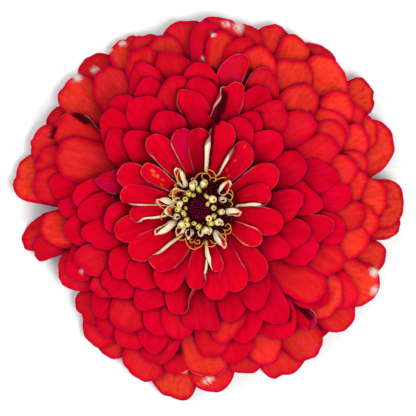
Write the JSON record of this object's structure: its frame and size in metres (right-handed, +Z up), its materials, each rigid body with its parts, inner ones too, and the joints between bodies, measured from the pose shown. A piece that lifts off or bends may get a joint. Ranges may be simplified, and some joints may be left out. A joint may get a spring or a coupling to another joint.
{
  "type": "zinnia flower",
  "caption": "Fully double red zinnia bloom with overlapping petals, rolled young petals round a dark eye and a green cup, picked under its bracts and resting face up.",
  "frame": {"origin": "middle of the flat cut under the bloom, straight below the middle of its face", "axes": "+Z up out of the bloom's face, +Y towards the top of the picture, +X towards its right"},
  "size_m": [0.1106, 0.1087, 0.0392],
  "materials": {
    "petal_red": "soft satin petal, crimson to orange-red",
    "quill_cream": "matte cream with a red lining",
    "bud_yellow": "matte yellow-green",
    "eye_maroon": "matte dark maroon",
    "bract_green": "matte leaf green with dark bract margins"
  },
  "bodies": {
    "root": {"involucre": "bract_green", "ray_petals": "petal_red", "quilled_florets": "quill_cream", "floret_buds": "bud_yellow", "chaff_cone": "eye_maroon"}
  },
  "joints": []
}
